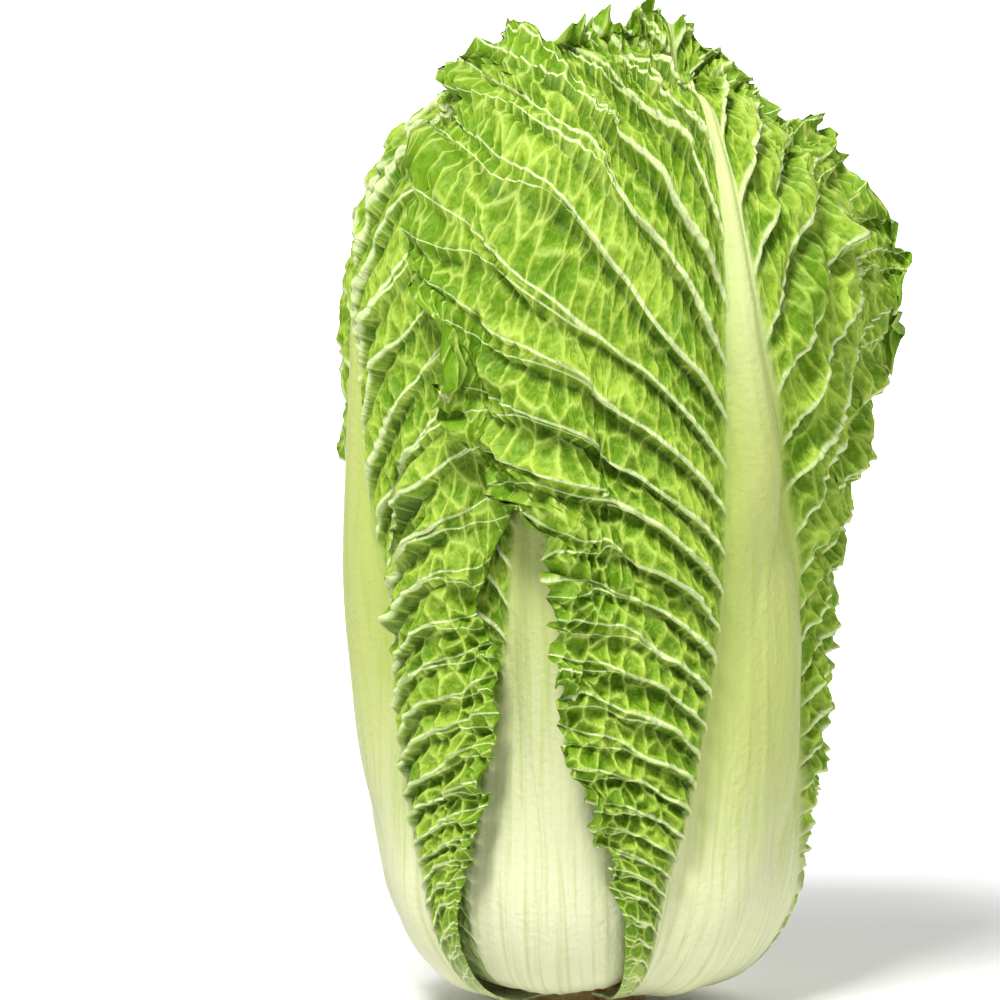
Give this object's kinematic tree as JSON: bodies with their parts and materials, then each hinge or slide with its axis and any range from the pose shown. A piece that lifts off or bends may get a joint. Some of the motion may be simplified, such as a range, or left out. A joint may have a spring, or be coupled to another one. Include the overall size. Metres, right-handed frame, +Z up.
{
  "type": "napa cabbage",
  "caption": "Upright head of napa cabbage: broad pale leaf stalks at the foot, crinkled green blades with branching veins wrapped around a dense heart.",
  "frame": {"origin": "centre of the stem's flat cut face, which the head stands on", "axes": "+Z up the head from the cut stem to the leaf tips; -Y is the side seen in the picture, +X to its right"},
  "size_m": [0.1665, 0.1552, 0.293],
  "materials": {
    "outer_leaf": "satin",
    "heart_leaf": "satin",
    "cut_stem": "matte"
  },
  "bodies": {
    "root": {"cut_stem": "cut_stem", "heart": "heart_leaf", "outer_leaf_1": "outer_leaf", "outer_leaf_2": "outer_leaf", "outer_leaf_3": "outer_leaf", "outer_leaf_4": "outer_leaf", "outer_leaf_5": "outer_leaf", "outer_leaf_6": "outer_leaf", "outer_leaf_7": "outer_leaf", "outer_leaf_8": "outer_leaf"}
  },
  "joints": []
}
